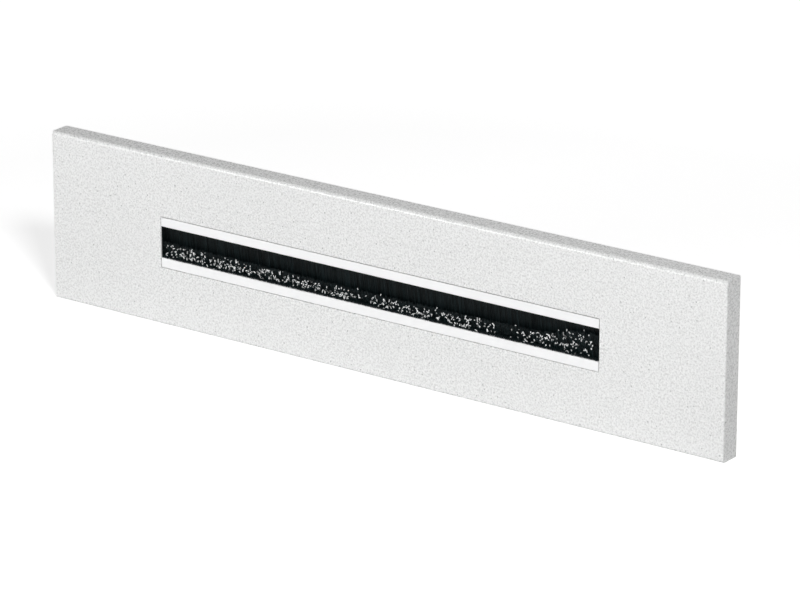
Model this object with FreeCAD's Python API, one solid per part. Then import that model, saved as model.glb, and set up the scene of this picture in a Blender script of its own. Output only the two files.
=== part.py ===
import FreeCAD
import Part
import math
import os

# Brush cable entry panel: a folded steel tray with a long slot. Behind the slot, two rails each hold a
# strip brush, one above and one below, and cables pass between the bristles.
# Millimetres. X runs along the panel, Y from front to back, Z up. The origin is the centre of the panel's
# outline on the plane of its rear rim, which is the face that meets the frame behind it.

# Panel, a steel sheet folded back along its long edges, with end flanges welded in and ground
PANEL_LENGTH = 450.0
PANEL_HEIGHT = 100.0
PANEL_DEPTH = 12.5
SHEET = 1.0
BEND_INSIDE_RADIUS = 1.2
END_EDGE_RADIUS = 0.8

# Cable slot: its place in the panel's face, and the band of carrier that shows along its long edges
PANEL_END = 78.0
SLOT_HEIGHT = 30.0
SLOT_DROP = 1.2
SLOT_CORNER_RADIUS = 0.5
SLOT_EDGE_RADIUS = 0.3
BAND_HEIGHT = 5.75

# Carrier rails, one extruded section used above and below the slot, with a land that stands in the slot
CARRIER_OVERLAP = 8.0
LAND_CLEARANCE = 0.4
LAND_RECESS = 0.2
CARRIER_WALL = 1.2
LIP_HEIGHT = 1.0
LIP_CLEARANCE = 0.15
FLANGE_THICKNESS = 2.5
FLANGE_MARGIN = 2.5
CARRIER_EDGE_RADIUS = 0.4
CARRIER_INNER_RADIUS = 1.0

# Strip brush: a crimped channel that holds filaments folded over a core wire
CHANNEL_WIDTH = 5.0
CHANNEL_LEG = 2.5
CHANNEL_SHEET = 0.6
CRIMP_ANGLE = 12.0
CHANNEL_CLEARANCE = 0.1
WIRE_DIAMETER = 1.6
FILAMENT_CLEARANCE = 0.05

# Fringes: the upper one hangs and leans back, the lower one stands and leans forward past it
UPPER_TIP_CLEARANCE = 1.6
LOWER_TIP_CLEARANCE = 8.0
FRONT_TIP_CLEARANCE = 0.6
ROW_CLEARANCE = 0.3
RIDGE_PITCH = 3.2
RIDGE_DEPTH = 0.4
TIP_UNEVENNESS = 0.9

# Weld studs, washers and nuts that hold the carriers to the panel
CARRIER_STUD_COUNT = 3
CARRIER_STUD_INSET = 25.0
CARRIER_STUD_DIAMETER = 4.0
CARRIER_STUD_END = 1.5
STUD_HOLE_CLEARANCE = 0.3
WASHER_DIAMETER = 9.0
WASHER_THICKNESS = 0.8
NUT_ACROSS_FLATS = 7.0
NUT_HEIGHT = 3.2
THREAD_CLEARANCE = 0.05

# Weld studs that fix the panel through the frame behind it
MOUNTING_STUD_INSET_X = 20.0
MOUNTING_STUD_INSET_Z = 15.0
MOUNTING_STUD_DIAMETER = 6.0
MOUNTING_STUD_REACH = 14.0
MOUNTING_STUD_CHAMFER = 0.7
WELD_BASE_RIM = 0.6
WELD_BASE_THICKNESS = 0.8

# Places and sizes that follow from those above
UPPER, LOWER = 1, -1
BACK = FreeCAD.Vector(0, 1, 0)
FRONT_Y = -PANEL_DEPTH
SHEET_BACK_Y = FRONT_Y + SHEET
SLOT_Z = -SLOT_DROP
SLOT_LENGTH = PANEL_LENGTH - 2 * PANEL_END
BRUSH_GAP = SLOT_HEIGHT - 2 * BAND_HEIGHT
RAIL_LENGTH = SLOT_LENGTH + 2 * CARRIER_OVERLAP
LAND_DEPTH = SHEET - LAND_RECESS
LAND_TOP = BAND_HEIGHT - LAND_CLEARANCE
CHANNEL_V = LIP_HEIGHT + CHANNEL_CLEARANCE
GROOVE_WIDTH = CHANNEL_WIDTH + 2 * CHANNEL_CLEARANCE
GROOVE_TOP = CHANNEL_V + CHANNEL_LEG + CHANNEL_WIDTH / 2 + CHANNEL_CLEARANCE
JAW_THICKNESS = GROOVE_WIDTH + 2 * CARRIER_WALL
JAW_HEIGHT = GROOVE_TOP + CARRIER_WALL
BRUSH_U = JAW_THICKNESS / 2
FLANGE_TOP = JAW_HEIGHT + WASHER_DIAMETER + 2 * FLANGE_MARGIN
STUD_V = (JAW_HEIGHT + FLANGE_TOP) / 2
OVERCUT = 1.0


def at(u, v, side, x=0.0):
    """Point behind the slot: u back from the sheet's rear face, v outward from a carrier's mouth."""
    return FreeCAD.Vector(x, SHEET_BACK_Y + u, SLOT_Z + side * (BRUSH_GAP / 2 + v))


def line(start, end):
    return Part.LineSegment(start, end).toShape()


def arc(start, middle, end):
    return Part.Arc(start, middle, end).toShape()


def along_x(wire, length):
    """Solid of a closed section at x = 0, extruded equally to both sides."""
    solid = Part.Face(wire).extrude(FreeCAD.Vector(length, 0, 0))
    solid.translate(FreeCAD.Vector(-length / 2, 0, 0))
    return solid


def turned(profile):
    """Solid turned about the Y axis from (radius, y) points."""
    points = [FreeCAD.Vector(radius, y, 0) for radius, y in profile]
    return Part.Face(Part.makePolygon(points + points[:1])).revolve(FreeCAD.Vector(), BACK, 360)


def copies(shape, places):
    return Part.makeCompound([shape.translated(place) for place in places])


def rounded_outline(corners):
    """Closed wire through (point, radius) corners, with an arc wherever the radius isn't zero."""
    starts, ends, arcs = [], [], []
    for i, (point, radius) in enumerate(corners):
        to_last = (corners[i - 1][0] - point).normalize()
        to_next = (corners[(i + 1) % len(corners)][0] - point).normalize()
        half_angle = to_last.getAngle(to_next) / 2
        setback = radius / math.tan(half_angle)
        starts.append(point + to_last * setback)
        ends.append(point + to_next * setback)
        middle = point + (to_last + to_next).normalize() * (radius / math.sin(half_angle) - radius)
        arcs.append(arc(starts[i], middle, ends[i]) if radius else None)
    edges = []
    for i, bend in enumerate(arcs):
        if bend:
            edges.append(bend)
        edges.append(line(ends[i], starts[(i + 1) % len(corners)]))
    return Part.Wire(edges)


def folded_block(length, height, front_y, rear_y, radius):
    """Block along X with a bend of the given radius on its upper and lower front edges."""
    top, bottom = height / 2, -height / 2
    corners = [(front_y, bottom, radius), (front_y, top, radius), (rear_y, top, 0), (rear_y, bottom, 0)]
    return along_x(rounded_outline([(FreeCAD.Vector(0, y, z), bend) for y, z, bend in corners]), length)


def end_edges(block):
    """Edges round both ends of a folded block, apart from those on the panel's rear plane."""
    return [edge for edge in block.Edges if edge.BoundBox.XLength < OVERCUT and edge.BoundBox.YMin < 0]


def slot_cut():
    """Block that cuts the slot out of the panel's face."""
    corners = [(-1, -1), (1, -1), (1, 1), (-1, 1)]
    half_x, half_z = SLOT_LENGTH / 2, SLOT_HEIGHT / 2
    points = [FreeCAD.Vector(x * half_x, FRONT_Y - OVERCUT, SLOT_Z + z * half_z) for x, z in corners]
    outline = rounded_outline([(point, SLOT_CORNER_RADIUS) for point in points])
    return Part.Face(outline).extrude(BACK * (SHEET + 2 * OVERCUT))


def slot_front_edges(tray):
    """Edges of the slot on the panel's front plane."""
    room = FreeCAD.BoundBox(-SLOT_LENGTH / 2, FRONT_Y, SLOT_Z - SLOT_HEIGHT / 2,
                            SLOT_LENGTH / 2, FRONT_Y, SLOT_Z + SLOT_HEIGHT / 2)
    room.enlarge(SLOT_EDGE_RADIUS / 2)
    return [edge for edge in tray.Edges if room.isInside(edge.BoundBox)]


def panel():
    """Folded tray, open at the back, with the cable slot through its face."""
    outside = folded_block(PANEL_LENGTH, PANEL_HEIGHT, FRONT_Y, 0.0, BEND_INSIDE_RADIUS + SHEET)
    outside = outside.makeFillet(END_EDGE_RADIUS, end_edges(outside))
    inner_length, inner_height = PANEL_LENGTH - 2 * SHEET, PANEL_HEIGHT - 2 * SHEET
    inside = folded_block(inner_length, inner_height, SHEET_BACK_Y, OVERCUT, BEND_INSIDE_RADIUS)
    tray = outside.cut(inside).cut(slot_cut())
    return tray.makeFillet(SLOT_EDGE_RADIUS, slot_front_edges(tray))


def crimped_side(inset):
    """Right side of the channel's section at an inset from its outer surface, as (across, up) points.

    They are the mouth, the point where the leg meets the round base, and the crown of that base.
    """
    crimp = math.radians(CRIMP_ANGLE)
    radius = CHANNEL_WIDTH / 2 - inset
    across = radius * math.cos(crimp)
    up = CHANNEL_LEG - radius * math.sin(crimp)
    return (across - up * math.tan(crimp), 0.0), (across, up), (0.0, CHANNEL_LEG + radius)


def bundle_half():
    """Half the thickness of the filaments where they leave the channel."""
    return crimped_side(CHANNEL_SHEET + FILAMENT_CLEARANCE)[0][0]


def carrier_stud_xs():
    reach = RAIL_LENGTH / 2 - CARRIER_STUD_INSET
    return [-reach + 2 * reach * i / (CARRIER_STUD_COUNT - 1) for i in range(CARRIER_STUD_COUNT)]


def land_ends():
    """Blocks that trim the land of a rail, so that it ends short of both ends of the slot."""
    start = FreeCAD.Vector(SLOT_LENGTH / 2 - LAND_CLEARANCE, FRONT_Y - OVERCUT, -PANEL_HEIGHT / 2)
    right = Part.makeBox(PANEL_END, SHEET + OVERCUT, PANEL_HEIGHT, start)
    return Part.makeCompound([right, right.mirror(FreeCAD.Vector(), FreeCAD.Vector(1, 0, 0))])


def carrier(side):
    """Extruded rail: a grooved jaw for the strip brush, a flange behind the panel and a land in the slot."""
    lip_half = bundle_half() + LIP_CLEARANCE
    groove_half = GROOVE_WIDTH / 2
    corners = [
        (-LAND_DEPTH, 0, CARRIER_EDGE_RADIUS),
        (BRUSH_U - lip_half, 0, CARRIER_EDGE_RADIUS),
        (BRUSH_U - lip_half, LIP_HEIGHT, 0),
        (BRUSH_U - groove_half, LIP_HEIGHT, 0),
        (BRUSH_U - groove_half, GROOVE_TOP, 0),
        (BRUSH_U + groove_half, GROOVE_TOP, 0),
        (BRUSH_U + groove_half, LIP_HEIGHT, 0),
        (BRUSH_U + lip_half, LIP_HEIGHT, 0),
        (BRUSH_U + lip_half, 0, CARRIER_EDGE_RADIUS),
        (JAW_THICKNESS, 0, CARRIER_EDGE_RADIUS),
        (JAW_THICKNESS, JAW_HEIGHT, CARRIER_INNER_RADIUS),
        (FLANGE_THICKNESS, JAW_HEIGHT, CARRIER_INNER_RADIUS),
        (FLANGE_THICKNESS, FLANGE_TOP, CARRIER_EDGE_RADIUS),
        (0, FLANGE_TOP, 0),
        (0, LAND_TOP, 0),
        (-LAND_DEPTH, LAND_TOP, 0),
    ]
    rail = along_x(rounded_outline([(at(u, v, side), radius) for u, v, radius in corners]), RAIL_LENGTH)
    hole_radius = CARRIER_STUD_DIAMETER / 2 + STUD_HOLE_CLEARANCE
    hole = Part.makeCylinder(hole_radius, FLANGE_THICKNESS + 2 * OVERCUT, FreeCAD.Vector(), BACK)
    holes = copies(hole, [at(-OVERCUT, STUD_V, side, x) for x in carrier_stud_xs()])
    return rail.cut(holes).cut(land_ends())


def crimped_edges(inset, side):
    """Left leg, round base and right leg of the channel's section at an inset from its outer surface."""
    mouth, tangent, crown = crimped_side(inset)
    right = [at(BRUSH_U + across, CHANNEL_V + up, side) for across, up in (mouth, tangent, crown)]
    left = [at(BRUSH_U - across, CHANNEL_V + up, side) for across, up in (mouth, tangent)]
    return [line(left[0], left[1]), arc(left[1], right[2], right[1]), line(right[1], right[0])]


def closed_loop(*paths):
    """Closed wire of paths of edges, with straight edges from the end of each path to the next."""
    edges = []
    for i, path in enumerate(paths):
        edges += path
        edges.append(line(path[-1].Vertexes[-1].Point, paths[(i + 1) % len(paths)][0].Vertexes[0].Point))
    return Part.Wire(edges)


def channel(side):
    """U channel of thin sheet, crimped so that its mouth is narrower than its round base."""
    outer = crimped_edges(0.0, side)
    inner = crimped_edges(CHANNEL_SHEET, side)
    lips = [line(outer[0].Vertexes[0].Point, inner[0].Vertexes[0].Point)]
    lips.append(line(outer[2].Vertexes[-1].Point, inner[2].Vertexes[-1].Point))
    return along_x(Part.Wire(Part.__sortEdges__(outer + inner + lips)), RAIL_LENGTH)


def core_cylinder(radius, side):
    start = at(BRUSH_U, CHANNEL_V + CHANNEL_LEG, side, -RAIL_LENGTH / 2)
    return Part.makeCylinder(radius, RAIL_LENGTH, start, FreeCAD.Vector(1, 0, 0))


def filament_fold(side):
    """Filaments inside the channel, folded over the core wire, out to the carrier's mouth."""
    half = bundle_half()
    ends = [line(at(BRUSH_U + half, 0, side), at(BRUSH_U - half, 0, side))]
    outline = closed_loop(crimped_edges(CHANNEL_SHEET + FILAMENT_CLEARANCE, side), ends)
    return along_x(outline, RAIL_LENGTH).cut(core_cylinder(WIRE_DIAMETER / 2 + FILAMENT_CLEARANCE, side))


def tip_shortfall(i):
    """Share from 0 to 1 of the unevenness that a fringe's tip lacks at a point: two waves and a saw tooth."""
    waves = math.sin(1.9 * i) + math.sin(0.37 * i)
    return waves / 8 + 0.25 + (i % 2) / 2


def fringe(side, length, front_lean, back_lean):
    """Free bristles beyond a carrier's mouth: ridged faces that lean towards tips of uneven length.

    The leans are how far back the two faces have moved at the tips.
    """
    steps = 2 * max(2, round(RAIL_LENGTH / RIDGE_PITCH))
    rows = []
    for i in range(steps + 1):
        x = RAIL_LENGTH * (i / steps - 0.5)
        ridge = RIDGE_DEPTH * (i % 2)
        share = 1 - TIP_UNEVENNESS * tip_shortfall(i) / length
        front = BRUSH_U - bundle_half() + ridge
        back = BRUSH_U + bundle_half() - ridge
        root = [at(front, 0, side, x), at(back, 0, side, x)]
        leans = ((front, front_lean), (back, back_lean))
        tip = [at(u + lean * share, -length * share, side, x) for u, lean in leans]
        rows.append((root[0], tip[0], tip[1], root[1]))
    loops = [rows[0], rows[-1]]
    for this, other in zip(rows, rows[1:]):
        loops += [(this[k], this[k + 1], other[k + 1], other[k]) for k in range(3)]
    loops.append([row[0] for row in rows] + [row[3] for row in reversed(rows)])
    faces = [Part.Face(Part.makePolygon(list(loop) + [loop[0]])) for loop in loops]
    return Part.makeSolid(Part.makeShell(faces))


def row_lean(length):
    """How far a face moves at its tip so that the two fringes pass each other with a clearance."""
    return (2 * bundle_half() + ROW_CLEARANCE) * length / BRUSH_GAP


def upper_bristles():
    length = BRUSH_GAP - UPPER_TIP_CLEARANCE
    return filament_fold(UPPER).fuse(fringe(UPPER, length, row_lean(length), row_lean(length)))


def lower_bristles():
    length = BRUSH_GAP - LOWER_TIP_CLEARANCE
    forward = BRUSH_U - bundle_half() - FRONT_TIP_CLEARANCE
    return filament_fold(LOWER).fuse(fringe(LOWER, length, -forward, -row_lean(length)))


def carrier_stud_places(u):
    return [at(u, STUD_V, side, x) for side in (UPPER, LOWER) for x in carrier_stud_xs()]


def carrier_studs():
    length = FLANGE_THICKNESS + WASHER_THICKNESS + NUT_HEIGHT + CARRIER_STUD_END
    stud = Part.makeCylinder(CARRIER_STUD_DIAMETER / 2, length, FreeCAD.Vector(), BACK)
    return copies(stud, carrier_stud_places(0))


def carrier_washers():
    bore_radius = CARRIER_STUD_DIAMETER / 2 + STUD_HOLE_CLEARANCE / 2
    disc = Part.makeCylinder(WASHER_DIAMETER / 2, WASHER_THICKNESS, FreeCAD.Vector(), BACK)
    ring = disc.cut(Part.makeCylinder(bore_radius, WASHER_THICKNESS, FreeCAD.Vector(), BACK))
    return copies(ring, carrier_stud_places(FLANGE_THICKNESS))


def carrier_nuts():
    """Hexagon nuts on the washers, with their axes along Y."""
    corner_radius = NUT_ACROSS_FLATS / 2 / math.cos(math.pi / 6)
    angles = [math.radians(60 * i) for i in range(7)]
    hexagon = [FreeCAD.Vector(math.cos(angle), 0, math.sin(angle)) * corner_radius for angle in angles]
    bore_radius = CARRIER_STUD_DIAMETER / 2 + THREAD_CLEARANCE
    bore = Part.makeCylinder(bore_radius, NUT_HEIGHT, FreeCAD.Vector(), BACK)
    nut = Part.Face(Part.makePolygon(hexagon)).extrude(BACK * NUT_HEIGHT).cut(bore)
    return copies(nut, carrier_stud_places(FLANGE_THICKNESS + WASHER_THICKNESS))


def mounting_stud():
    """Weld stud that stands back from the origin, past the panel's rim, with a short wider base."""
    radius = MOUNTING_STUD_DIAMETER / 2
    length = MOUNTING_STUD_REACH - SHEET_BACK_Y
    return turned(
        [
            (0, 0),
            (radius + WELD_BASE_RIM, 0),
            (radius + WELD_BASE_RIM, WELD_BASE_THICKNESS),
            (radius, WELD_BASE_THICKNESS),
            (radius, length - MOUNTING_STUD_CHAMFER),
            (radius - MOUNTING_STUD_CHAMFER, length),
            (0, length),
        ]
    )


def mounting_studs():
    half_x = PANEL_LENGTH / 2 - MOUNTING_STUD_INSET_X
    half_z = PANEL_HEIGHT / 2 - MOUNTING_STUD_INSET_Z
    feet = [FreeCAD.Vector(x, SHEET_BACK_Y, z) for x in (-half_x, half_x) for z in (-half_z, half_z)]
    return copies(mounting_stud(), feet)


def pieces():
    """Every piece of the panel by name."""
    return {
        "panel": panel(),
        "mounting_studs": mounting_studs(),
        "carrier_studs": carrier_studs(),
        "carrier_washers": carrier_washers(),
        "carrier_nuts": carrier_nuts(),
        "upper_carrier": carrier(UPPER),
        "lower_carrier": carrier(LOWER),
        "upper_channel": channel(UPPER),
        "lower_channel": channel(LOWER),
        "upper_core_wire": core_cylinder(WIRE_DIAMETER / 2, UPPER),
        "lower_core_wire": core_cylinder(WIRE_DIAMETER / 2, LOWER),
        "upper_bristles": upper_bristles(),
        "lower_bristles": lower_bristles(),
    }


os.makedirs("parts", exist_ok=True)
for name, shape in pieces().items():
    shape.exportStep(os.path.join("parts", name + ".step"))
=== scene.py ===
import math

import bpy
import numpy as np
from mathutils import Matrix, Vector

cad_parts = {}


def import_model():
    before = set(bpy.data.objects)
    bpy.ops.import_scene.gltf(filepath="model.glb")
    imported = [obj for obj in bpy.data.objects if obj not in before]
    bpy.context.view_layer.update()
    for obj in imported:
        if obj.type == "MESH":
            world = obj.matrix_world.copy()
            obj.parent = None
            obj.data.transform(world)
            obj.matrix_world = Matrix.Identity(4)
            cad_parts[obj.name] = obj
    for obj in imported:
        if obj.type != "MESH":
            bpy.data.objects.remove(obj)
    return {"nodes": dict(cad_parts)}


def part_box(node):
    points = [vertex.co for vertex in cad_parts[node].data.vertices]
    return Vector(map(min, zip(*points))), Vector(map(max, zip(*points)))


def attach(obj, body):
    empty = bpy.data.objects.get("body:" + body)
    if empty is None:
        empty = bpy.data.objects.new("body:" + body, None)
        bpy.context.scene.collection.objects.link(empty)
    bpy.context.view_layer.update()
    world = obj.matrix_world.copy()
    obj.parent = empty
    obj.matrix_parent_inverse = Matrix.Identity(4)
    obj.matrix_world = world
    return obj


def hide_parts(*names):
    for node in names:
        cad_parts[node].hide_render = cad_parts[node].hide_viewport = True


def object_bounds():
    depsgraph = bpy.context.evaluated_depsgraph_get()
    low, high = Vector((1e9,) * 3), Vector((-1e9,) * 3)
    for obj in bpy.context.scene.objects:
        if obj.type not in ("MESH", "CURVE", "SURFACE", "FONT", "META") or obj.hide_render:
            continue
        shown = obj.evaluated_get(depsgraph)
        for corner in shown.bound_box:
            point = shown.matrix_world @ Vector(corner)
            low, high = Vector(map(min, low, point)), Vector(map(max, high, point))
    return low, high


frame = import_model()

# Brush cable entry panel. The CAD nodes get materials, the strip brushes get single filaments, the studs
# and nuts get threads and chamfers, and a studio stands round them. Lengths are in metres, in the CAD
# frame: X runs along the panel, its front faces -Y, and Z is up.

cad_low, cad_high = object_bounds()
nodes = frame["nodes"]
MM = 0.001


# Materials
NOISE_MIDDLE = (0.3, 0.7)
# How far the painted shade in narrow gaps reaches, and how many rays find it
GAP_SHADE_REACH = 1.5 * MM
GAP_SHADE_SAMPLES = 16


class Nodes:
    """Short calls for the nodes of one tree."""

    def __init__(self, tree):
        self.tree = tree

    def add(self, kind, values=None, **settings):
        """New node with its settings, and values on its sockets."""
        node = self.tree.nodes.new(kind)
        for name, value in settings.items():
            setattr(node, name, value)
        for name, value in (values or {}).items():
            node.inputs[name].default_value = value
        return node

    def link(self, out, into):
        self.tree.links.new(out, into)

    def mapped(self, value, source, target):
        """Moves a value from one range into another."""
        limits = dict(zip(("From Min", "From Max", "To Min", "To Max"), (*source, *target)))
        node = self.add("ShaderNodeMapRange", limits)
        self.link(value, node.inputs["Value"])
        return node.outputs["Result"]

    def calculated(self, operation, first, second):
        """Result of a maths operation on two values."""
        node = self.add("ShaderNodeMath", operation=operation)
        self.link(first, node.inputs[0])
        self.link(second, node.inputs[1])
        return node.outputs[0]

    def seen_rays(self):
        """1 for rays from the camera, mirrors and glass, and 0 for the light that reaches surfaces."""
        path = self.add("ShaderNodeLightPath").outputs
        seen = self.calculated("MAXIMUM", path["Is Camera Ray"], path["Is Glossy Ray"])
        return self.calculated("MAXIMUM", seen, path["Is Transmission Ray"])


class Shader(Nodes):
    """A material with a principled surface, and short calls for the nodes that the finishes share."""

    def __init__(self, name, color, roughness, metallic=0.0, specular=0.5):
        self.material = bpy.data.materials.new(name)
        self.material.use_nodes = True
        super().__init__(self.material.node_tree)
        self.surface = self.tree.nodes["Principled BSDF"]
        self.surface.inputs["Base Color"].default_value = (*color, 1.0)
        self.surface.inputs["Roughness"].default_value = roughness
        self.surface.inputs["Metallic"].default_value = metallic
        self.surface.inputs["Specular IOR Level"].default_value = specular
        self.place = self.add("ShaderNodeTexCoord").outputs["Object"]

    def stretched(self, factors):
        """Places scaled by a factor along each axis."""
        node = self.add("ShaderNodeMapping", {"Scale": factors})
        self.link(self.place, node.inputs["Vector"])
        return node.outputs["Vector"]

    def noise(self, scale, detail=2.0, roughness=0.5, vector=None):
        values = {"Scale": scale, "Detail": detail, "Roughness": roughness}
        node = self.add("ShaderNodeTexNoise", values)
        self.link(vector or self.place, node.inputs["Vector"])
        return node.outputs["Fac"]

    def cells(self, scale):
        """Distance to the nearest of many scattered points."""
        node = self.add("ShaderNodeTexVoronoi", {"Scale": scale})
        self.link(self.place, node.inputs["Vector"])
        return node.outputs["Distance"]

    def ramp(self, value, stops):
        """Colour that follows a value between stops, each a position and a colour."""
        node = self.add("ShaderNodeValToRGB")
        elements = node.color_ramp.elements
        while len(elements) < len(stops):
            elements.new(0.5)
        for element, (position, color) in zip(elements, stops):
            element.position = position
            element.color = (*color, 1.0)
        self.link(value, node.inputs["Fac"])
        return node.outputs["Color"]

    def span(self, value, low, high):
        """Moves the middle of a noise into a range."""
        return self.mapped(value, NOISE_MIDDLE, (low, high))

    def multiply(self, first, second, factor=1.0):
        """Two colours multiplied, as far as a factor says."""
        node = self.add("ShaderNodeMix", {"Factor": factor}, data_type="RGBA", blend_type="MULTIPLY")
        self.link(first, node.inputs["A"])
        self.link(second, node.inputs["B"])
        return node.outputs["Result"]

    def bump(self, height, distance, strength=1.0, under=None):
        """Normal that follows a height, on top of another bump if one is given."""
        node = self.add("ShaderNodeBump", {"Distance": distance, "Strength": strength})
        self.link(height, node.inputs["Height"])
        if under:
            self.link(under, node.inputs["Normal"])
        return node.outputs["Normal"]

    def with_gap_shade(self, color, dark):
        """Painted shade: darkens a colour in narrow gaps, as far as an ambient occlusion node finds them
        closed in.
        """
        gap = self.add("ShaderNodeAmbientOcclusion", {"Distance": GAP_SHADE_REACH}, samples=GAP_SHADE_SAMPLES)
        return self.multiply(color, self.ramp(gap.outputs["AO"], [(0.15, grey(dark)), (0.5, grey(1.0))]))

    def use(self, color=None, roughness=None, normal=None):
        """Links what differs over the surface, and returns the finished material."""
        for out, name in ((color, "Base Color"), (roughness, "Roughness"), (normal, "Normal")):
            if out:
                self.link(out, self.surface.inputs[name])
        return self.material


def grey(level, tint=(1.0, 1.0, 1.0)):
    """Colour of one level, with a tint."""
    return tuple(level * t for t in tint)


def panel_coat():
    """Light grey powder coat: an orange-peel grain, fine and sparse specks, and a slow drift of tone."""
    shader = Shader("panel_coat", grey(0.79), 0.3)
    cool = (1.0, 1.006, 1.0)
    grain = shader.noise(scale=950.0, roughness=0.55)
    fine = shader.noise(scale=2000.0)
    drift = shader.noise(scale=9.0)
    tones = [(0.33, grey(0.70, cool)), (0.50, grey(0.82, cool)), (0.67, grey(0.92, cool))]
    dust = shader.ramp(fine, [(0.30, grey(0.62)), (0.43, grey(1.0))])
    specks = shader.ramp(shader.cells(scale=230.0), [(0.06, grey(0.55)), (0.13, grey(1.0))])
    slow = shader.ramp(drift, [(0.35, grey(0.975)), (0.65, grey(1.0))])
    color = shader.multiply(shader.ramp(grain, tones), dust, factor=0.8)
    color = shader.multiply(shader.multiply(color, specks), slow)
    normal = shader.bump(fine, 0.02 * MM, 0.5, under=shader.bump(grain, 0.05 * MM, 0.6))
    return shader.use(color, shader.span(grain, 0.24, 0.32), normal)


def white_plastic():
    """Satin white extruded plastic with faint lines along the rail, and painted shade in its narrow gaps."""
    shader = Shader("white_plastic", grey(0.93), 0.42, specular=0.45)
    lines = shader.noise(scale=900.0, vector=shader.stretched((0.004, 1.0, 1.0)))
    cloud = shader.noise(scale=60.0, detail=3.0)
    color = shader.ramp(cloud, [(0.3, (0.912, 0.914, 0.918)), (0.7, (0.944, 0.946, 0.950))])
    normal = shader.bump(cloud, 0.06 * MM, 0.3, under=shader.bump(lines, 0.04 * MM, 0.5))
    # The plastic's colour is darkened in its narrow gaps: painted shade
    return shader.use(shader.with_gap_shade(color, 0.5), shader.span(lines, 0.36, 0.48), normal)


def plated_steel():
    """Bright zinc plate: a slightly blue metal with a fine mottle."""
    shader = Shader("plated_steel", (0.55, 0.56, 0.58), 0.3, metallic=1.0)
    mottle = shader.noise(scale=700.0, detail=3.0, roughness=0.6)
    color = shader.ramp(mottle, [(0.3, (0.44, 0.455, 0.48)), (0.7, (0.63, 0.64, 0.66))])
    return shader.use(color, shader.span(mottle, 0.22, 0.40), shader.bump(mottle, 0.03 * MM, 0.4))


def strip_steel():
    """Galvanised strip: dull metal with a spangle and rolling lines along its length."""
    shader = Shader("strip_steel", (0.52, 0.53, 0.55), 0.4, metallic=1.0)
    spangle = shader.cells(scale=420.0)
    lines = shader.noise(scale=1500.0, vector=shader.stretched((0.01, 1.0, 1.0)))
    color = shader.ramp(spangle, [(0.0, (0.44, 0.45, 0.47)), (0.8, (0.60, 0.61, 0.62))])
    return shader.use(color, shader.span(lines, 0.3, 0.5), shader.bump(lines, 0.03 * MM, 0.5))


def filament(name, dark, pale, roughness, specular):
    """Nylon filament whose tone differs from one to the next, kept in the mesh's tone attribute."""
    shader = Shader(name, pale, roughness, specular=specular)
    tone = shader.add("ShaderNodeAttribute", attribute_name="tone").outputs["Fac"]
    color = shader.ramp(tone, [(0.0, dark), (1.0, pale)])
    streak = shader.noise(scale=3000.0, vector=shader.stretched((1.0, 1.0, 0.1)))
    return shader.use(color, shader.span(streak, roughness - 0.06, roughness + 0.08))


coat = panel_coat()
plastic = white_plastic()
plate = plated_steel()
strip = strip_steel()
black = filament("black_filament", (0.0012, 0.0026, 0.0029), (0.0100, 0.0188, 0.0206), 0.42, 0.13)
# Near-white filament tips that stand in for glints of light on the lower row: a painted highlight
glint_paint = filament("painted_glint_tip", (0.03, 0.032, 0.032), (0.95, 0.96, 0.96), 0.24, 0.8)

finishes = {
    "panel": coat,
    "upper_carrier": plastic,
    "lower_carrier": plastic,
    "upper_channel": strip,
    "lower_channel": strip,
    "upper_core_wire": strip,
    "lower_core_wire": strip,
    "carrier_washers": plate,
}
for node_name, material in finishes.items():
    nodes[node_name].data.materials.clear()
    nodes[node_name].data.materials.append(material)


# Meshes
def add_piece(name, mesh, replaced):
    """Puts a mesh into the scene on the part's only body, in place of a CAD node."""
    piece = bpy.data.objects.new(name, mesh)
    bpy.context.scene.collection.objects.link(piece)
    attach(piece, "root")
    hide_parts(replaced)


def faces_mesh(name, verts, loops, sizes, materials, smooth, material_of=None):
    """Mesh from flat arrays: points, the corners of all faces in turn, and each face's number of corners."""
    mesh = bpy.data.meshes.new(name)
    mesh.vertices.add(len(verts))
    mesh.vertices.foreach_set("co", np.asarray(verts, np.float32).ravel())
    mesh.loops.add(len(loops))
    mesh.loops.foreach_set("vertex_index", np.asarray(loops, np.int32))
    starts = np.concatenate(([0], np.cumsum(sizes)[:-1])).astype(np.int32)
    mesh.polygons.add(len(sizes))
    mesh.polygons.foreach_set("loop_start", starts)
    for material in materials:
        mesh.materials.append(material)
    if material_of is not None:
        mesh.polygons.foreach_set("material_index", np.asarray(material_of, np.int32))
    mesh.polygons.foreach_set("use_smooth", smooth)
    mesh.update(calc_edges=True)
    mesh.validate()
    return mesh


def joined_mesh(name, parts, material):
    """One flat-shaded mesh of several parts, each given as points, quads and end loops."""
    verts, loops, sizes, offset = [], [], [], 0
    for points, quads, ends in parts:
        verts.append(points)
        loops.append(quads.reshape(-1) + offset)
        sizes.append(np.full(len(quads), 4))
        for end in ends:
            loops.append(end + offset)
            sizes.append(np.array([len(end)]))
        offset += len(points)
    verts, loops, sizes = (np.concatenate(lists) for lists in (verts, loops, sizes))
    return faces_mesh(name, verts, loops, sizes, [material], np.zeros(len(sizes), bool))


def tube_quads(index):
    """Faces between neighbouring rings, given as rows of their points' numbers."""
    turned = np.roll(index, -1, axis=1)
    return np.stack([index[:-1], index[1:], turned[1:], turned[:-1]], axis=-1).reshape(-1, 4)


def set_tone(mesh, values):
    """Keeps a filament tone from 0 to 1 for each point of a mesh."""
    attribute = mesh.attributes.new("tone", "FLOAT", "POINT")
    attribute.data.foreach_set("value", np.asarray(values, np.float32))


def round_angles(sides):
    """Even angles round a ring."""
    return np.arange(sides) * 2 * np.pi / sides


def unit(vectors):
    """Vectors of shape (filaments, rings, 3) at length 1."""
    return vectors / np.maximum(np.linalg.norm(vectors, axis=2, keepdims=True), 1e-9)


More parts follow.
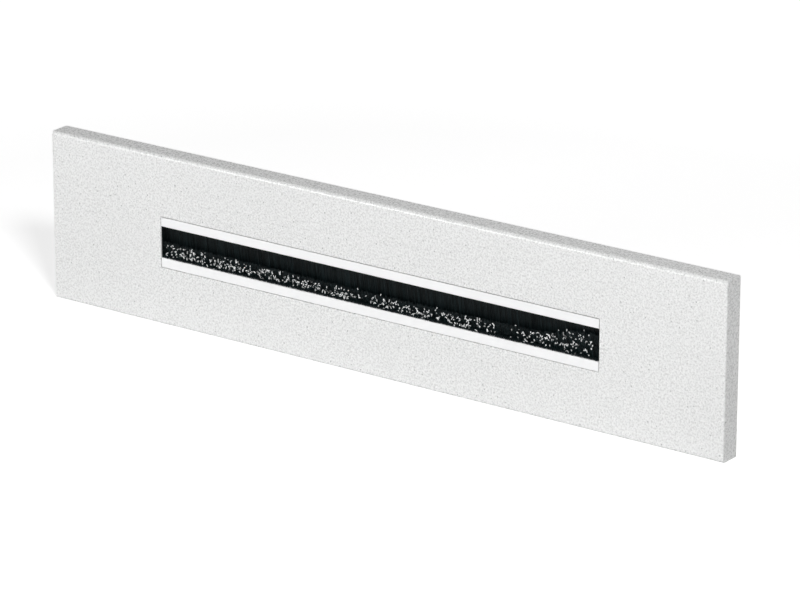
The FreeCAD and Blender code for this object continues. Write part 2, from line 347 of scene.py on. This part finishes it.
# Strip brushes, placed by the CAD nodes
rail_low, rail_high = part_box("upper_carrier")
channel_low, channel_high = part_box("upper_channel")
UPPER_MOUTH = rail_low.z
LOWER_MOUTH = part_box("lower_carrier")[1].z
GAP = UPPER_MOUTH - LOWER_MOUTH
SHEET_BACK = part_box("carrier_studs")[0].y
BRUSH_Y = (channel_low.y + channel_high.y) / 2
HALF_RAIL = rail_high.x
RAIL_OVERLAP = 8.0 * MM
HALF_SLOT = HALF_RAIL - RAIL_OVERLAP

# The folded bundle in a channel, and the roots in it
HALF_BUNDLE = 1.36 * MM
FOLD_INSET = 0.4 * MM
FOLD_WALL = 0.65 * MM
FOLD_MOUTH = 0.2 * MM
FOLD_ARC = np.radians(np.linspace(-12.0, 192.0, 13))
FOLD_TONE = 0.35
RIBS = 620
RIB_CREST, RIB_VALLEY = 0.985, 0.945
ROOT_DEPTH = 1.0 * MM
ROOT_MARGIN = 0.2 * MM
LAYERS = 6

# How far filaments come into the slot, and how near to its ends, the sheet and the rails' ends
SLOT_ROOM = 0.5 * MM
LIP_ROOM = 0.7 * MM
SLOT_END_ROOM = 0.4 * MM
SHEET_ROOM = 0.3 * MM
RAIL_END_ROOM = 0.3 * MM

# Sides of a filament's tube, and a direction that no filament follows
TUBE_SIDES = 5
OFF_AXIS = np.array([0.62, 0.75, 0.23])

# How filaments fan out, and where the lower row's tips end, lie parted, stand in clumps and grow sparse
UP = np.array([0.0, 0.0, 1.0])
FAN_SPREAD = 0.45
SLOPE_AT_ROOT, SLOPE_GAIN = 0.45, 1.1
TIP_PLACES = np.array([-155.0, -125.0, -60.0, 0.0, 60.0, 105.0, 120.0, 130.0, 155.0]) * MM
TIP_HEIGHTS = np.array([9.4, 9.0, 8.2, 7.4, 7.8, 8.6, 10.2, 13.8, 15.4]) * MM
PARTINGS = ((-9.0 * MM, 7.5 * MM), (85.0 * MM, 8.0 * MM))
TALL_END = 120.0 * MM
LONG_WAVE, SHORT_WAVE, WAVE_PHASE = 2.9 * MM, 1.7 * MM, 1.3
CLUMP_SHARE, CLUMP_SWING, TALL_BONUS = 0.66, 0.32, 0.16
SPARSE_FROM, SPARSE_SHARE = (-75.0 * MM, -50.0 * MM), (1.0, 0.78)


def between(rng, low, high, count):
    """Lengths drawn evenly between two numbers of millimetres."""
    return rng.uniform(low, high, count) * MM


def around(rng, spread, count):
    """Lengths drawn around 0, with a spread in millimetres."""
    return rng.normal(0.0, spread, count) * MM


def filament_mesh(name, paths, radius, tone, glint_runs):
    """Tubes along paths of shape (filaments, rings, 3), each closed by a flat root and a flat cut end.

    The last few runs of a filament, by its number in glint_runs, and its cut end take the second material, a
    painted glint.
    """
    count, rings = paths.shape[:2]
    tangents = unit(np.gradient(paths, axis=1))
    across = unit(np.cross(tangents, OFF_AXIS))
    other = np.cross(tangents, across)
    angles = round_angles(TUBE_SIDES)[:, None]
    ring = np.cos(angles) * across[:, :, None, :] + np.sin(angles) * other[:, :, None, :]
    verts = (paths[:, :, None, :] + ring * radius[:, None, None, None]).reshape(-1, 3)
    index = np.arange(count * rings * TUBE_SIDES).reshape(count, rings, TUBE_SIDES)
    turned = np.roll(index, -1, axis=2)
    quads = np.stack([index[:, :-1], turned[:, :-1], turned[:, 1:], index[:, 1:]], axis=-1)
    loops = np.concatenate([quads.reshape(-1), index[:, -1].reshape(-1), index[:, 0, ::-1].reshape(-1)])
    quad_count = count * (rings - 1) * TUBE_SIDES
    sizes = np.concatenate([np.full(quad_count, 4), np.full(2 * count, TUBE_SIDES)])
    run = np.arange(rings - 1)[None, :]
    pale = np.repeat(run >= rings - 1 - glint_runs[:, None], TUBE_SIDES, axis=1)
    material_of = np.concatenate([pale.reshape(-1), glint_runs > 0, np.zeros(count, bool)])
    smooth = np.arange(len(sizes)) < quad_count
    mesh = faces_mesh(name, verts, loops, sizes, [black, glint_paint], smooth, material_of)
    set_tone(mesh, np.repeat(tone, rings * TUBE_SIDES))
    return mesh


def black_filaments(rng, name, paths, radii, tones):
    """Filaments with no pale tip. Their radii lie between two, and their tones follow a beta curve."""
    count = len(paths)
    radius = between(rng, *radii, count)
    return filament_mesh(name, paths, radius, rng.beta(*tones, count), np.zeros(count, int))


def grown(root, moves):
    """Paths that start at the roots and follow their moves one after another."""
    return np.concatenate([root[:, None, :], root[:, None, :] + np.cumsum(moves, axis=1)], axis=1)


def kept_in_slot(paths, room=SLOT_ROOM):
    """Holds filaments behind the sheet, or within its thickness where they stand in the slot."""
    in_slot = np.abs(paths[..., 0]) < HALF_SLOT - SLOT_END_ROOM
    front = np.where(in_slot, SHEET_BACK - room, SHEET_BACK + SHEET_ROOM)
    paths[..., 1] = np.maximum(paths[..., 1], front)
    paths[..., 0] = np.clip(paths[..., 0], -HALF_RAIL + RAIL_END_ROOM, HALF_RAIL - RAIL_END_ROOM)
    return paths


def root_points(rng, count, front, back, z, jitter=1.0):
    """Places in even layers along a channel, between two shares of the bundle's thickness from -1 to 1."""
    layer, step = np.arange(count) % LAYERS, np.arange(count) // LAYERS
    share = (step + 0.5 + jitter * rng.uniform(-0.5, 0.5, count)) * LAYERS / count
    x = (2 * share - 1) * (HALF_RAIL - FOLD_INSET)
    depth = front + (back - front) * (layer + rng.uniform(0.0, 1.0, count)) / LAYERS
    y = BRUSH_Y + depth * (HALF_BUNDLE - ROOT_MARGIN)
    return np.stack([x, y, np.full(count, z)], axis=-1)


def lower_tip_height(x):
    """Height of the lower row's longest tips above its mouth: even in the middle, high at the right end."""
    return np.interp(x, TIP_PLACES, TIP_HEIGHTS)


def parted(x):
    """Nearness, from 0 to 1, to the places where the lower tips lie parted."""
    return np.max([np.exp(-(((x - place) / width) ** 2)) for place, width in PARTINGS], axis=0)


def splayed_moves(rng, height, forward, runs, crimp):
    """Moves that rise to a height and come forward by a distance, with a crimp that grows to the tip."""
    count = len(height)
    turn = rng.normal(0.0, FAN_SPREAD, count)
    lateral = np.stack([np.sin(turn), -np.cos(turn), np.zeros(count)], axis=-1)
    share = (np.arange(runs) + 0.5) / runs
    slope = np.arctan2(forward, height)[:, None] * (SLOPE_AT_ROOT + SLOPE_GAIN * share)
    phase = rng.uniform(0.0, 2 * np.pi, (count, 1))
    waves = rng.uniform(1.0, 2.0, (count, 1))
    wave = 2 * np.pi * waves * share + phase
    slope = slope + crimp * share * np.sin(wave)
    step = np.hypot(height, forward)[:, None, None] / runs
    moves = np.cos(slope)[..., None] * UP + np.sin(slope)[..., None] * lateral[:, None, :]
    moves[..., 0] += crimp * share * np.cos(wave)
    return moves * step


def curled_moves(rng, count, runs):
    """Moves along a tip that starts nearly upright and curls over to one side."""
    length = between(rng, 1.0, 2.6, count)
    turn = rng.uniform(0.1, 1.0, count) * np.pi * rng.choice([-1.0, 1.0], count)
    tilt = rng.normal(0.0, 0.5, count)
    lateral = np.stack([np.cos(tilt), -np.abs(np.sin(tilt)), np.zeros(count)], axis=-1)
    share = (np.arange(runs) + 0.5) / runs
    angle = rng.normal(0.0, 0.5, count)[:, None] + turn[:, None] * share
    curl = np.cos(angle)[..., None] * UP + np.sin(angle)[..., None] * lateral[:, None, :]
    return curl * (length / runs)[:, None, None]


def upper_filaments(rng, name):
    """Long straight filaments that hang from the upper channel and lean back past the lower row."""
    count, runs = 5500, 3
    tip_room, lean = 1.6 * MM, 2.75 * MM
    root = root_points(rng, count, -1.0, 1.0, UPPER_MOUTH + ROOT_DEPTH, jitter=0.6)
    length = GAP + ROOT_DEPTH - tip_room - between(rng, 0.0, 1.3, count)
    back = lean + around(rng, 0.2, count)
    sway = around(rng, 0.15, count)
    total = np.stack([sway, back, -length], axis=-1)
    bow = around(rng, 0.05, (count, runs, 3)) * np.array([1.0, 1.0, 0.0])
    paths = kept_in_slot(grown(root, total[:, None, :] / runs + bow))
    return black_filaments(rng, name, paths, radii=(0.16, 0.20), tones=(0.7, 1.9))


def standing_filaments(rng, name):
    """Back half of the lower row: filaments that stand nearly straight, leaning forward of the upper row."""
    count, runs, lean = 2400, 4, 0.24
    root = root_points(rng, count, -0.6, 1.0, LOWER_MOUTH - ROOT_DEPTH)
    height = lower_tip_height(root[:, 0]) * rng.uniform(0.72, 1.0, count) + ROOT_DEPTH
    moves = splayed_moves(rng, height, lean * height, runs, crimp=0.12)
    paths = kept_in_slot(grown(root, moves))
    return black_filaments(rng, name, paths, radii=(0.16, 0.21), tones=(1.6, 2.6))


def splayed_filaments(rng, name):
    """Front half of the lower row: filaments of mixed length that fan forward of the others."""
    count, runs = 1500, 5
    root = root_points(rng, count, -1.0, -0.3, LOWER_MOUTH - 0.3 * ROOT_DEPTH)
    height = lower_tip_height(root[:, 0]) * rng.uniform(0.3, 0.95, count)
    moves = splayed_moves(rng, height, between(rng, 0.6, 2.4, count), runs, crimp=0.35)
    paths = kept_in_slot(grown(root, moves))
    return black_filaments(rng, name, paths, radii=(0.17, 0.23), tones=(1.6, 2.4))


def lip_filaments(rng, name):
    """Short filaments of the lower row that lie forward over the carrier's lip."""
    count, runs = 2600, 4
    root = root_points(rng, count, -1.0, -0.5, LOWER_MOUTH - 0.2 * ROOT_DEPTH)
    height = between(rng, 0.3, 1.1, count)
    moves = splayed_moves(rng, height, between(rng, 2.8, 3.7, count), runs, crimp=0.2)
    paths = kept_in_slot(grown(root, moves), LIP_ROOM)
    return black_filaments(rng, name, paths, radii=(0.17, 0.23), tones=(1.6, 2.4))


def glint_tip_roots(rng):
    """Roots of the filaments with painted glint tips: in clumps, sparser away from the left end, and apart
    at partings.
    """
    count = 1320
    left_room, right_room = 2.4 * MM, 5.4 * MM
    root = root_points(rng, count, -1.0, -0.7, LOWER_MOUTH - 0.3 * ROOT_DEPTH)
    x = root[:, 0]
    swing = CLUMP_SWING * np.sin(x / LONG_WAVE + WAVE_PHASE) * np.sin(x / SHORT_WAVE)
    clump = CLUMP_SHARE + swing + TALL_BONUS * (x > TALL_END)
    inside = (x > -HALF_SLOT + left_room) & (x < HALF_SLOT - right_room)
    crowd = clump * (1.0 - parted(x)) * np.interp(x, SPARSE_FROM, SPARSE_SHARE)
    return root[inside & (rng.uniform(0.0, 1.0, count) < crowd)]


def glint_tip_filaments(rng, name):
    """Crimped filaments in front of the lower row, whose tips curl over and carry a painted highlight: a
    pale colour in place of the glints of light they catch.
    """
    runs, curl_runs = 5, 7
    shortest, curl_room = 1.2 * MM, 1.5 * MM
    stray_share, stray_from = 0.04, -20.0 * MM
    root = glint_tip_roots(rng)
    x, count = root[:, 0], len(root)
    longest = lower_tip_height(x) - curl_room
    stray = (rng.uniform(0.0, 1.0, count) < stray_share) & (x > stray_from)
    share_up = rng.uniform(0.0, 1.0, count) ** np.where(x > TALL_END, 0.9, 1.15)
    usual = shortest + (longest - shortest) * share_up
    height = np.where(stray, longest + between(rng, 0.5, 2.5, count), usual)
    base = splayed_moves(rng, height, between(rng, 2.3, 3.0, count), runs, crimp=0.25)
    paths = kept_in_slot(grown(root, np.concatenate([base, curled_moves(rng, count, curl_runs)], axis=1)))
    radius = between(rng, 0.20, 0.34, count)
    glint_runs = rng.integers(2, curl_runs + 1, count)
    # Each tip's tone sets how bright its painted glint is
    return filament_mesh(name, paths, radius, rng.beta(1.5, 0.5, count), glint_runs)


def fold_mesh(name, channel, mouth, outward):
    """The filaments' folded bundle inside a channel, ribbed along its length, up to the carrier's mouth."""
    low, high = channel
    radius = (high.y - low.y) / 2 - FOLD_WALL
    crown = high.z - FOLD_WALL if outward > 0 else low.z + FOLD_WALL
    centre = crown - outward * radius
    foot = mouth + outward * FOLD_MOUTH
    arc = [(BRUSH_Y + radius * math.cos(a), centre + outward * radius * math.sin(a)) for a in FOLD_ARC]
    outline = [(BRUSH_Y + HALF_BUNDLE, foot), *arc, (BRUSH_Y - HALF_BUNDLE, foot)]
    section = np.array(outline)[::-outward]
    middle = section.mean(axis=0)
    shrink = np.where(np.arange(RIBS) % 2 == 0, RIB_CREST, RIB_VALLEY)
    points = middle + (section - middle)[None] * shrink[:, None, None]
    xs = np.linspace(-HALF_RAIL + FOLD_INSET, HALF_RAIL - FOLD_INSET, RIBS)
    along = np.repeat(xs[:, None, None], len(section), axis=1)
    verts = np.concatenate([along, points], axis=2).reshape(-1, 3)
    index = np.arange(len(verts)).reshape(RIBS, -1)
    mesh = joined_mesh(name, [(verts, tube_quads(index), [index[0], index[-1][::-1]])], black)
    set_tone(mesh, np.full(len(verts), FOLD_TONE))
    return mesh


# Studs and nuts. Sizes without a unit are shares of a radius, a pitch, a base or a height.
M6_RADIUS, M6_PITCH = 3.0 * MM, 1.0 * MM
M4_RADIUS, M4_PITCH = 2.0 * MM, 0.7 * MM
WELD_BASE = 0.8 * MM
NUT_BORE = 2.05 * MM
NUT_FACE, NUT_BEVEL, NUT_SINK = 0.97, 1.10, 0.08
CHAMFER_SLOPE = math.tan(math.pi / 6)
NUT_SIDES = 72
THREAD_SIDES, STEPS_PER_TURN = 28, 6
THREAD_DEPTH, THREAD_FLAT = 0.30, 0.06
NECK, SHOULDER, CHAMFER, CHAMFER_TOP = 0.98, 0.96, 0.22, 0.93
STRAIGHT_BASE = 0.8
APART = 12.0 * MM


def turned_rings(profile, angles, foot):
    """Points of rings round +Y, each with a height and a radius, and rows of the points' numbers."""
    rings = []
    for y, radius in profile:
        axes = np.broadcast_arrays(radius * np.cos(angles), y, radius * np.sin(angles))
        rings.append(np.stack(axes, axis=-1))
    index = np.arange(len(profile) * len(angles)).reshape(len(profile), -1)
    return np.concatenate(rings) + np.asarray(foot), index


def threaded_rod(foot, length, radius, pitch, base_radius, base_length):
    """Points and faces of a stud along +Y: a plain weld base, a helical thread and a chamfered end."""
    angles = round_angles(THREAD_SIDES)
    chamfer = radius * CHAMFER
    profile = []
    if base_length:
        profile += [(0.0, base_radius), (base_length * STRAIGHT_BASE, base_radius)]
        profile.append((base_length, base_radius * SHOULDER))
    profile.append((base_length, radius * NECK))
    start = base_length + pitch
    turns = (length - start - chamfer) / pitch
    for step in range(int(turns * STEPS_PER_TURN)):
        y = start + pitch * step / STEPS_PER_TURN
        phase = (y / pitch - angles / (2 * np.pi)) % 1.0
        depth = THREAD_DEPTH * pitch * np.abs(2 * phase - 1) * 2
        profile.append((y, radius - np.clip(depth - THREAD_FLAT * pitch, 0.0, None)))
    profile += [(length - chamfer, radius * CHAMFER_TOP), (length, radius - chamfer)]
    verts, index = turned_rings(profile, angles, foot)
    return verts, tube_quads(index), [index[0], index[-1][::-1]]


def hex_nut(seat, flats, height, bore):
    """Points and faces of a chamfered hexagon nut along +Y on its seat."""
    angles = round_angles(NUT_SIDES)
    hexagon = flats / 2 / np.cos(angles % (math.pi / 3) - math.pi / 6)
    face = flats / 2 * NUT_FACE
    rise = (hexagon - face) * CHAMFER_SLOPE
    profile = [
        (height * NUT_SINK, bore),
        (0.0, bore * NUT_BEVEL),
        (0.0, face),
        (rise, hexagon),
        (height - rise, hexagon),
        (height, face),
        (height, bore * NUT_BEVEL),
        (height * (1.0 - NUT_SINK), bore),
    ]
    verts, index = turned_rings(profile, angles, seat)
    return verts, tube_quads(np.concatenate([index, index[:1]])), []


def separate_solids(node):
    """Foot and size of each solid of a node, found by grouping the node's points in X and Z."""
    groups = []
    for point in np.array([vertex.co for vertex in nodes[node].data.vertices]):
        for group in groups:
            if abs(point[0] - group[0][0]) < APART and abs(point[2] - group[0][2]) < APART:
                group.append(point)
                break
        else:
            groups.append([point])
    for group in groups:
        low, high = np.min(group, axis=0), np.max(group, axis=0)
        yield ((low[0] + high[0]) / 2, low[1], (low[2] + high[2]) / 2), high - low


def threaded_studs(name, node, radius, pitch, base_length):
    """Threaded rods in the places of a node's plain studs."""
    solids = separate_solids(node)
    rods = [threaded_rod(foot, size[1], radius, pitch, size[0] / 2, base_length) for foot, size in solids]
    return joined_mesh(name, rods, plate)


def chamfered_nuts(name, node):
    """Chamfered nuts in the places of a node's plain nuts."""
    nuts = [hex_nut(seat, size[2], size[1], NUT_BORE) for seat, size in separate_solids(node)]
    return joined_mesh(name, nuts, plate)


# All pieces. Each row of filaments has the seed of its own random draws.
FILAMENTS = (
    ("upper_filaments", upper_filaments, 11, "upper_bristles"),
    ("lower_filaments_back", standing_filaments, 12, "lower_bristles"),
    ("lower_filaments_front", splayed_filaments, 13, "lower_bristles"),
    ("lower_filaments_lip", lip_filaments, 15, "lower_bristles"),
    ("lower_painted_glint_tips", glint_tip_filaments, 14, "lower_bristles"),
)


def build_pieces():
    """Adds every piece that stands for a CAD node."""
    for name, grow, seed, node in FILAMENTS:
        add_piece(name, grow(np.random.default_rng(seed), name), node)
    upper_fold = fold_mesh("upper_fold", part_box("upper_channel"), UPPER_MOUTH, 1)
    add_piece("upper_fold", upper_fold, "upper_bristles")
    lower_fold = fold_mesh("lower_fold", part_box("lower_channel"), LOWER_MOUTH, -1)
    add_piece("lower_fold", lower_fold, "lower_bristles")
    mounting = threaded_studs("mounting_threads", "mounting_studs", M6_RADIUS, M6_PITCH, WELD_BASE)
    add_piece("mounting_threads", mounting, "mounting_studs")
    carrier = threaded_studs("carrier_threads", "carrier_studs", M4_RADIUS, M4_PITCH, 0.0)
    add_piece("carrier_threads", carrier, "carrier_studs")
    add_piece("hex_nuts", chamfered_nuts("hex_nuts", "carrier_nuts"), "carrier_nuts")


# Studio
TARGET = (0.01821, -0.0125, -0.00195)
AZIMUTH, ELEVATION, DISTANCE = 35.908, 19.112, 2.4796
LENS, SENSOR = 206.82, 36.0
CLIP_END = 50.0
AMBIENT = 0.07
FLOOR_HALF = 4.0
FLOOR_LIFT = 0.66
SHADOW_REACH = (0.45, 1.2)
WHITE = (1.0, 1.0, 1.0, 1.0)

# Name, azimuth, elevation, distance, width and height, and share of full white on a surface that faces it
SOFTBOXES = (
    ("key", 45.0, 38.0, 1.9, (0.3, 0.3), 0.56),
    ("fill", 15.0, 6.0, 2.6, (1.4, 1.2), 0.06),
    ("edge", -33.0, 8.0, 1.46, (0.5, 0.2), 0.38),
    ("rear", 180.0, 5.0, 2.2, (0.8, 0.6), 0.45),
)


def direction(azimuth, elevation):
    """Unit vector from the object, by an azimuth from the front, positive to the right, and an elevation."""
    a, e = math.radians(azimuth), math.radians(elevation)
    return np.array([math.sin(a) * math.cos(e), -math.cos(a) * math.cos(e), math.sin(e)])


def aimed(name, data, place, target):
    """Puts a camera or lamp into the scene, turned towards a target."""
    thing = bpy.data.objects.new(name, data)
    bpy.context.scene.collection.objects.link(thing)
    thing.location = place
    thing.rotation_euler = (Vector(place) - Vector(target)).to_track_quat("Z", "Y").to_euler()
    return thing


def camera():
    """Camera at the photograph's viewing angle."""
    data = bpy.data.cameras.new("camera")
    data.sensor_fit = "HORIZONTAL"
    data.sensor_width = SENSOR
    data.lens = LENS
    data.clip_end = CLIP_END
    place = np.array(TARGET) + direction(AZIMUTH, ELEVATION) * DISTANCE
    bpy.context.scene.camera = aimed("camera", data, place, TARGET)


def softbox(name, azimuth, elevation, distance, size, share):
    """Area light that lights a white surface facing it to a share of full white."""
    data = bpy.data.lights.new(name, "AREA")
    data.shape = "RECTANGLE"
    data.size, data.size_y = size
    data.energy = share * math.pi**2 * distance**2
    aimed(name, data, direction(azimuth, elevation) * distance, (0.0, 0.0, 0.0))


def world():
    """Dim even light, which the camera, mirrors and glass see as white."""
    sky = bpy.data.worlds.new("studio")
    sky.use_nodes = True
    tree = Nodes(sky.node_tree)
    background = sky.node_tree.nodes["Background"]
    background.inputs["Color"].default_value = WHITE
    strength = tree.mapped(tree.seen_rays(), (0.0, 1.0), (AMBIENT, 1.0))
    tree.link(strength, background.inputs["Strength"])
    bpy.context.scene.world = sky


def floor():
    """Pale floor under the panel's lower edge. It takes the shadow, and turns white with distance."""
    corners = [(-1, -1), (1, -1), (1, 1), (-1, 1)]
    mesh = bpy.data.meshes.new("floor")
    mesh.from_pydata([(x * FLOOR_HALF, y * FLOOR_HALF, cad_low.z) for x, y in corners], [], [(0, 1, 2, 3)])
    shader = Shader("floor", grey(0.78), 0.9, specular=0.1)
    shader.use(shader.ramp(shader.noise(scale=3.0), [(0.3, grey(0.775)), (0.7, grey(0.785))]))
    reach = shader.add("ShaderNodeVectorMath", operation="LENGTH")
    shader.link(shader.place, reach.inputs[0])
    lift = shader.mapped(reach.outputs["Value"], SHADOW_REACH, (FLOOR_LIFT, 1.0))
    strength = shader.calculated("MULTIPLY", shader.seen_rays(), lift)
    shader.surface.inputs["Emission Color"].default_value = WHITE
    shader.link(strength, shader.surface.inputs["Emission Strength"])
    mesh.materials.append(shader.material)
    thing = bpy.data.objects.new("floor", mesh)
    bpy.context.scene.collection.objects.link(thing)


build_pieces()
floor()
world()
for box in SOFTBOXES:
    softbox(*box)
camera()
bpy.context.scene.view_settings.view_transform = "Standard"
